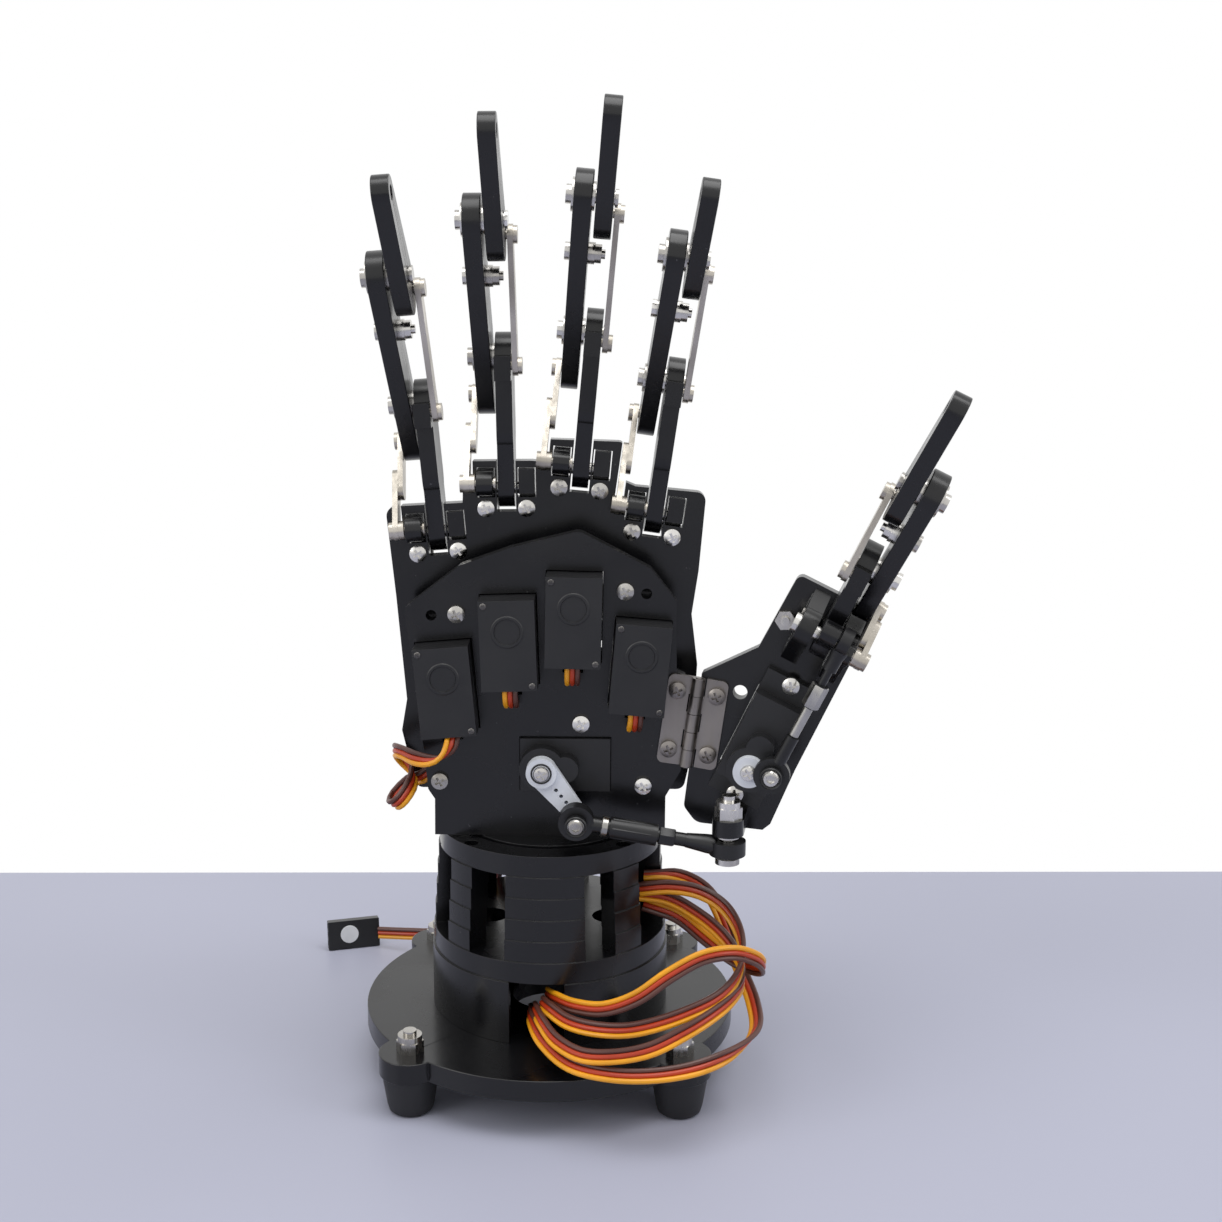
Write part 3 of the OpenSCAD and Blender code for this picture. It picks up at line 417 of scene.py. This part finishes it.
# %% [markdown]
# ## Screws with a cross recess
# A pan head is a profile spun round its axis, with two thin blocks cut out of its top.
# It is made once and copied to each place: the case screws of the servos and the screws
# that hold the horns.

# %%


def lathe(profile, sides=32):
    """A profile of (radius, height) in mm, spun round Z and closed at its poles."""
    bm = bmesh.new()
    line = [bm.verts.new((r, 0, z)) for r, z in profile]
    edges = [bm.edges.new(pair) for pair in zip(line, line[1:])]
    bmesh.ops.spin(bm, geom=line + edges, axis=(0, 0, 1), cent=(0, 0, 0),
                   angle=math.tau, steps=sides, use_merge=True)
    bmesh.ops.remove_doubles(bm, verts=bm.verts, dist=0.00001)
    bmesh.ops.recalc_face_normals(bm, faces=bm.faces)
    return bm


def prism(sides, radius, length, chamfer):
    """An upright prism on z = 0 with chamfered ends, in mm."""
    bm = bmesh.new()
    bmesh.ops.create_cone(bm, cap_ends=True, segments=sides, radius1=radius,
                          radius2=radius, depth=length)
    bmesh.ops.translate(bm, vec=(0, 0, length / 2), verts=bm.verts)
    ends = [e for e in bm.edges if abs(e.verts[0].co.z - e.verts[1].co.z) < 1e-6]
    bmesh.ops.bevel(bm, geom=ends, offset=chamfer, segments=2, profile=0.5,
                    affect="EDGES", material=-1)
    return bm


def shape(name, bm):
    """Keeps a bmesh as a mesh that can be copied into others."""
    me = bpy.data.meshes.new(name)
    bm.to_mesh(me)
    bm.free()
    return me


def add_copy(bm, one, at, out, turn=0.0):
    """One copy of a shape; at is in metres and out is the direction of its +Z."""
    old = len(bm.verts)
    bm.from_mesh(one)
    bm.verts.ensure_lookup_table()
    place = (Matrix.Translation(at) @ Vector(out).to_track_quat("Z", "Y").to_matrix().to_4x4()
             @ Matrix.Rotation(turn, 4, "Z") @ Matrix.Scale(0.001, 4))
    bmesh.ops.transform(bm, matrix=place, verts=bm.verts[old:])


def cross_head(radius, height):
    """A pan head with its cross recess cut by two blocks."""
    head = bpy.data.objects.new("head", shape("head", lathe(
        [(0, -0.05), (radius, -0.05), (radius, height * 0.4), (radius * 0.88, height * 0.74),
         (radius * 0.55, height * 0.95), (0, height)])))
    scene.collection.objects.link(head)
    cut = bmesh.new()
    bmesh.ops.create_cube(cut, matrix=Matrix.Diagonal(
        (radius * 1.3, radius * 0.3, height * 0.9, 1)))
    copy = bmesh.ops.duplicate(cut, geom=cut.verts[:] + cut.edges[:] + cut.faces[:])["geom"]
    bmesh.ops.rotate(cut, verts=[g for g in copy if isinstance(g, bmesh.types.BMVert)],
                     matrix=Matrix.Rotation(math.pi / 2, 3, "Z"))
    bmesh.ops.translate(cut, vec=(0, 0, height * 0.85), verts=cut.verts)
    knife = bpy.data.objects.new("knife", shape("knife", cut))
    scene.collection.objects.link(knife)
    mod = head.modifiers.new("cut", "BOOLEAN")
    mod.operation, mod.object, mod.solver = "DIFFERENCE", knife, "EXACT"
    mod.use_self = True
    made = bpy.data.meshes.new_from_object(
        head.evaluated_get(bpy.context.evaluated_depsgraph_get()))
    for one in (head, knife):
        bpy.data.objects.remove(one)
    made.materials.clear()
    return made


# radius and height of a case screw's head and of a horn screw's head, in mm
CASE_HEAD = cross_head(0.72, 0.3)
HUB_HEAD = cross_head(1.75, 1.0)
print("screw heads", len(CASE_HEAD.polygons), len(HUB_HEAD.polygons), "faces")

# %% [markdown]
# ## Servo backs
# Each finger servo stands through the front plate with its back cover towards the
# viewer. The cover has a screw in two corners, a fine seam where it meets the case and a
# plain round boss. Its three wires leave by a small slot at the lower end.

# %%
SERVOS = [(-22.3, 93.5, -5), (-8.45, 104.1, -2), (5.75, 109.3, 1), (20.4, 98.8, 4.6)]
SERVO_W, SERVO_L, SERVO_BACK = 12.2, 20.2, -20.0
CORNER = (5.0, 9.0)         # a case screw's distance from the cover's middle
SEAM = 3.6                  # from the back cover to its seam
BOSS_UP = 3.2               # from the cover's middle up to the boss


def on_servo(servo, across, up, y):
    """A point of a finger servo, across and up from its middle, in the stand's mm."""
    x, z, lean = servo
    c, s = math.cos(math.radians(lean)), math.sin(math.radians(lean))
    return (x + across * c + up * s, y, z - across * s + up * c)


bm = bmesh.new()
for servo in SERVOS:
    for side in (-1, 1):
        add_copy(bm, CASE_HEAD, mm(*on_servo(servo, side * CORNER[0], -side * CORNER[1],
                                         SERVO_BACK)),
                 (0, -1, 0), 0.3 + side)
mesh_object("case_screws", bm, MATERIALS["dark_steel"], "palm")


def seam_band(bm, servo, y, height, proud):
    """A thin raised band round a servo's case."""
    ring = bmesh.new()
    bmesh.ops.create_grid(ring, x_segments=1, y_segments=1, size=0.5)
    bmesh.ops.scale(ring, vec=(SERVO_W + 2 * proud, SERVO_L + 2 * proud, 1), verts=ring.verts)
    edges = bmesh.ops.extrude_edge_only(ring, edges=ring.edges[:])["geom"]
    bmesh.ops.delete(ring, geom=[f for f in ring.faces if abs(f.normal.z) > 0.9],
                     context="FACES_ONLY")
    bmesh.ops.translate(ring, vec=(0, 0, height),
                        verts=[g for g in edges if isinstance(g, bmesh.types.BMVert)])
    bmesh.ops.recalc_face_normals(ring, faces=ring.faces)
    bmesh.ops.solidify(ring, geom=ring.faces[:], thickness=proud + 0.05)
    one = shape("band", ring)
    old = len(bm.verts)
    bm.from_mesh(one)
    bm.verts.ensure_lookup_table()
    x, z, lean = servo
    place = (Matrix.Translation(mm(x, y, z)) @ Matrix.Rotation(math.radians(lean), 4, "Y")
             @ Matrix.Rotation(math.pi / 2, 4, "X") @ Matrix.Scale(0.001, 4))
    bmesh.ops.transform(bm, matrix=place, verts=bm.verts[old:])


bm = bmesh.new()
for servo in SERVOS:
    seam_band(bm, servo, SERVO_BACK + SEAM, 0.22, 0.06)
mesh_object("case_seams", bm, MATERIALS["servo_case"], "palm", smooth=False)

bm = bmesh.new()
boss = shape("boss", lathe([(0, -0.1), (2.75, -0.1), (2.9, 0.2), (3.4, 0.2), (3.6, 0.05),
                            (3.6, -0.05)], 48))
for servo in SERVOS:
    add_copy(bm, boss, mm(*on_servo(servo, 0, BOSS_UP, SERVO_BACK)), (0, -1, 0))
mesh_object("case_bosses", bm, MATERIALS["servo_case"], "palm")
print("servo trim on", len(SERVOS), "servos")

# %% [markdown]
# ## Horn screws and stud heads
# Every horn has a cross screw in its hub. Every horn but the thumb's also has a thin dark ring
# round that screw, which is painted shade standing in for the shadow in the groove round the hub.
# A ball link turns on a steel stud that is riveted to the horn and ends in a flanged head with a
# hexagon socket. The horns are white plastic as a whole in the source, so a steel sleeve and head
# cover the studs.

# %%
# the thumb's hinge and its lean, and how far the thumb is turned at rest
HINGE = Vector((32.2, -14.5, 85.8))
LEAN = math.radians(7.5)
REST_TURN = math.radians(-10)
# places of the horns' hubs and studs, across the hand and up
SWING_HUB, SWING_STUD = (-1.2, 75.5), (6.6, 65.8)
THUMB_HUB, THUMB_STUD = (45.86, 78.37), (51, 78.6)
SHAFT_OFF = 5.1             # from a servo's middle down to its shaft
HORN_ARM = 7
HORN_DROP = math.radians(20)
STUD_GAP = 1.85             # from a horn's face to the sleeve's foot
TURN = (Matrix.Translation(HINGE)
        @ Matrix.Rotation(REST_TURN, 4, Vector((math.sin(LEAN), 0, math.cos(LEAN))))
        @ Matrix.Translation(-HINGE))


def on_thumb(x, y, z):
    """A point of the flat thumb plate, in mm, where the plate stands at rest."""
    return TURN @ Vector((x, y, z))


def stud_cover(name, start, out, gap, top, body):
    """A stud's steel sleeve from gap to the head's foot, and the head in its collar."""
    bm = bmesh.new()
    sleeve = shape("sleeve", lathe([(1.0, gap), (1.08, gap), (1.08, top), (1.0, top)]))
    head = lathe([(1.0, top + 0.1), (1.75, top + 0.1), (1.75, top + 1.5), (1.5, top + 1.85),
                  (1.1, top + 1.95), (0, top + 1.95)])
    collar = lathe([(1.0, top - 0.06), (2.1, top - 0.06), (2.4, top + 0.12), (2.4, top + 1.3),
                    (2.2, top + 1.5), (1.8, top + 1.3), (1.8, top + 0.1), (1.0, top + 0.1)])
    ob = bpy.data.objects.new("head", shape("head", head))
    socket = prism(6, 0.95, 3, 0.02)
    bmesh.ops.translate(socket, vec=(0, 0, top + 1.2), verts=socket.verts)
    tool = bpy.data.objects.new("tool", shape("tool", socket))
    for one in (ob, tool):
        scene.collection.objects.link(one)
    mod = ob.modifiers.new("cut", "BOOLEAN")
    mod.operation, mod.object, mod.solver = "DIFFERENCE", tool, "EXACT"
    made = bpy.data.meshes.new_from_object(
        ob.evaluated_get(bpy.context.evaluated_depsgraph_get()))
    made.materials.clear()
    for one in (ob, tool):
        bpy.data.objects.remove(one)
    for one in (sleeve, made):
        add_copy(bm, one, mm(*start), out)
    mesh_object(name, bm, MATERIALS["fastener_steel"], body)
    bm = bmesh.new()
    add_copy(bm, shape("collar", collar), mm(*start), out)
    mesh_object(name.replace("cover", "collar"), bm, MATERIALS["ball_link"], body)


FRONT = Vector((0, -1, 0))
THUMB_OUT = TURN.to_3x3() @ FRONT
stud_cover("swing_stud_cover", (SWING_STUD[0], -17.95, SWING_STUD[1]), FRONT, STUD_GAP, 8.6,
           "swing_horn")
stud_cover("thumb_stud_cover", on_thumb(THUMB_STUD[0], -24, THUMB_STUD[1]), THUMB_OUT, STUD_GAP,
           4.9, "thumb_horn")
screws = [("swing", (SWING_HUB[0], -20.55, SWING_HUB[1]), FRONT),
          ("thumb", on_thumb(THUMB_HUB[0], -26.0, THUMB_HUB[1]), THUMB_OUT)]
for digit, servo, side in zip(("pinky", "ring", "middle", "index"), SERVOS, (-1, -1, 1, 1)):
    x, _, z = on_servo(servo, 0, -SHAFT_OFF, 0)
    stud_cover(digit + "_stud_cover",
               (x + side * HORN_ARM * math.cos(HORN_DROP), 6.6,
                z - HORN_ARM * math.sin(HORN_DROP)),
               (0, 1, 0), STUD_GAP, 4.6, digit + "_horn")
    screws.append((digit, (x, 8.6, z), (0, 1, 0)))
for digit, at, out in screws:
    bm = bmesh.new()
    add_copy(bm, HUB_HEAD, mm(*at), out, 0.5)
    mesh_object(digit + "_hub_screw", bm, MATERIALS["fastener_steel"], digit + "_horn")
    if digit == "thumb":  # its push rod passes too near for a rim
        continue
    # painted shade: a thin ring of dark plastic round the hub screw, standing in for the shadow
    # in the groove there
    bm = lathe([(1.85, -0.05), (2.35, -0.05), (2.35, 0.1), (2.2, 0.16), (1.95, 0.1)])
    painted_shade_ring = shape("painted_shade_ring", bm)
    bm = bmesh.new()
    add_copy(bm, painted_shade_ring, mm(*at), out)
    mesh_object(digit + "_hub_painted_shade_ring", bm, MATERIALS["servo_case"], digit + "_horn")
print("studs and hub screws", len(screws))

# %% [markdown]
# ## Ball-link rods
# The moulded link ends screw onto threaded rod. A steel collar closes each moulded end,
# and the grips between them are six-sided, so that a spanner can turn them.

# %%
# the swing rod runs between its two ball links, and the thumb's push rod from the stud to
# the pin in the thumb's first bar
rod_from = Vector((SWING_STUD[0], -24, SWING_STUD[1]))
rod_to = on_thumb(41.4, -22, 60.0)
along = (rod_to - rod_from).normalized()
bm = bmesh.new()
add_copy(bm, shape("collar", lathe([(1.6, 0), (2.15, 0), (2.3, 0.15), (2.3, 1.35), (2.15, 1.5),
                                    (1.6, 1.5)])), mm(*(rod_from + along * 5.6)), along)
mesh_object("swing_rod_collar", bm, MATERIALS["rod_steel"], "swing_rod")
bm = bmesh.new()
add_copy(bm, shape("grip", prism(6, 2.5, 9.4, 0.5)), mm(*(rod_from + along * 7.6)), along, 0.3)
add_copy(bm, shape("nut", prism(6, 2.1, 3.6, 0.35)), mm(*(rod_from + along * 18.4)), along, 0.1)
add_copy(bm, shape("boot", lathe([(0, 0), (1.6, 0), (2.1, 4.5), (2.2, 6.2), (0, 6.6)])),
         mm(*(rod_to - along * 9.3)), along)
mesh_object("swing_rod_grips", bm, MATERIALS["ball_link"], "swing_rod")

low = on_thumb(THUMB_STUD[0], -27.4, THUMB_STUD[1])
lean = math.radians(25.4)   # of the thumb's bars
top = on_thumb(61.0 + 3.4 * math.cos(lean) + 3.2 * math.sin(lean), -20 - 9.8,
               107.6 - 3.4 * math.sin(lean) + 3.2 * math.cos(lean))
along = (top - low).normalized()
bm = bmesh.new()
add_copy(bm, shape("upper", lathe([(0, 0), (1.5, 0.1), (1.55, 3.2), (2.0, 5), (0, 5.4)])),
         mm(*(top - along * 7.2)), along)
mesh_object("thumb_rod_ends", bm, MATERIALS["ball_link"], "thumb_rod")
bm = bmesh.new()
add_copy(bm, shape("sleeve", prism(6, 1.95, 5.4, 0.3)), mm(*(low + along * 17.6)), along)
add_copy(bm, shape("thread", lathe([(0, 0), (1.02, 0), (1.02, 7.4), (0, 7.4)])),
         mm(*(low + along * 10.3)), along)
mesh_object("thumb_rod_sleeve", bm, MATERIALS["rod_steel"], "thumb_rod")
print("rod trims done")

# %% [markdown]
# ## Servo wires on the palm
# Three thin wires leave the lower end of each finger servo, bend over the edge of its
# opening and run on between the two plates. The lead of the outer servo is too long and
# makes two loose loops beside the palm. Each wire is a cord of its own.

# %%


def blend_lies(lies, t):
    """The ribbon's width direction at share t of its way."""
    k = t * (len(lies) - 1)
    i = min(int(k), len(lies) - 2)
    return Vector(lies[i]).lerp(Vector(lies[i + 1]), k - i)


def loose_wires(name, points, lies):
    """Three separate wires beside each other along one route on the palm."""
    route = smooth_path([Vector(p) for p in points], 2)
    n = len(route)
    for k, place in enumerate((-1, 0, 1)):
        line = []
        for i, p in enumerate(route):
            ahead = (route[min(i + 1, n - 1)] - route[max(i - 1, 0)]).normalized()
            lay = blend_lies(lies, i / (n - 1))
            across = (lay - lay.dot(ahead) * ahead).normalized()
            line.append(p + across * place * WIRE * 0.98)
        bm = bmesh.new()
        wire_tube(bm, line, WIRE / 2, 0)
        bmesh.ops.scale(bm, vec=(0.001, 0.001, 0.001), verts=bm.verts)
        bmesh.ops.translate(bm, vec=CENTRE * 0.001, verts=bm.verts)
        wire = mesh_object(f"{name}_{k}", bm, WIRE_SKINS[k], "palm")


BEND = [(0, -9.3, -18.3), (0, -10.9, -18.8), (0, -12.5, -18.5), (0, -13.7, -17.4),
        (0, -14.4, -16.0), (0, -14.6, -14.2), (0, -14.4, -12.2)]
SIDEWAYS = [(0.9, -13.9, -9.6), (2.5, -13.8, -7.5), (5.0, -14.4, -6.2), (8.2, -15.9, -5.7),
            (11.2, -18.4, -5.8), (16.6, -23.2, -5.8)]
DOWN = [(0.3, -14.8, -9.6), (0.8, -16.1, -7.5), (1.3, -18.4, -6.2), (1.7, -21.6, -5.7),
        (1.8, -26.2, -5.8), (2.2, -31.6, -5.9)]
for digit, servo, turn, rest in (("ring", SERVOS[1], 1, SIDEWAYS),
                                 ("middle", SERVOS[2], -1, SIDEWAYS),
                                 ("index", SERVOS[3], 1, DOWN)):
    loose_wires(digit + "_wires", [on_servo(servo, turn * a, up, y) for a, up, y in BEND + rest],
                [(1, 0, 0), (1, 0, 0), (0.9, 0, 0.5), (0.3, 0, 1)])
loose_wires("pinky_wires",
            [(-20.9, -17.4, 84.8), (-20.8, -18.5, 83.2), (-21.1, -19.6, 81.6),
             (-22.2, -20.3, 79.9), (-24.2, -20.3, 78.5), (-26.9, -19.3, 78.0),
             (-29.8, -17.0, 77.9), (-32.1, -13.9, 77.9), (-34.0, -11.3, 77.7),
             (-35.1, -7.4, 76.5), (-33.8, -5.5, 74.4), (-32.0, -5.9, 72.2),
             (-31.0, -8.1, 70.6), (-31.3, -10.8, 69.1), (-32.9, -12.1, 66.7),
             (-34.6, -11.3, 65.0), (-35.6, -9.0, 64.4), (-35.1, -6.2, 65.6),
             (-32.1, -5.1, 68.5), (-29.1, -6.2, 69.9), (-25.4, -5.8, 72.4), (-21.6, -5.8, 73.9)],
            [(1, 0, 0), (1, 0.3, 0), (0.8, 0.7, -0.2), (0.3, 1, 0), (0, 0.8, 0.6), (0, 0.4, 0.9),
             (0, 0, 1), (-0.1, 0.2, 0.7), (0, 0.1, 1), (-0.1, 0.1, 0.7), (-0.5, 0.1, 0.9),
             (-0.8, 0.1, 0.6), (-0.8, 0, 0.6), (-0.9, 0, 0.6), (-0.6, 0.2, 0.4),
             (-0.9, 0, 0.8), (-0.6, 0, 0.8), (-0.4, 0, 0.9)])

# %% [markdown]
# ## Connector
# A small black housing with a plain white dot on its broad side and a shallow groove
# where the wires enter.

# %%
bm = bmesh.new()
tilt = Matrix.Rotation(math.radians(16), 3, "Z") @ Matrix.Rotation(math.radians(-8), 3, "X")
face = tilt @ Vector((0, -1, 0))
centre = Vector((-56.4, 55.6, 0.05)) + tilt @ Vector((-1.2, -1.3, 4.0))
add_copy(bm, shape("dot", lathe([(0, 0.08), (2.35, 0.08), (2.45, 0.0)])), mm(*centre), face)
mesh_object("plug_dot", bm, moulded("dot_white", rgb(226, 228, 230), 0.5, 0.1), "stand")
print("plug trim done")
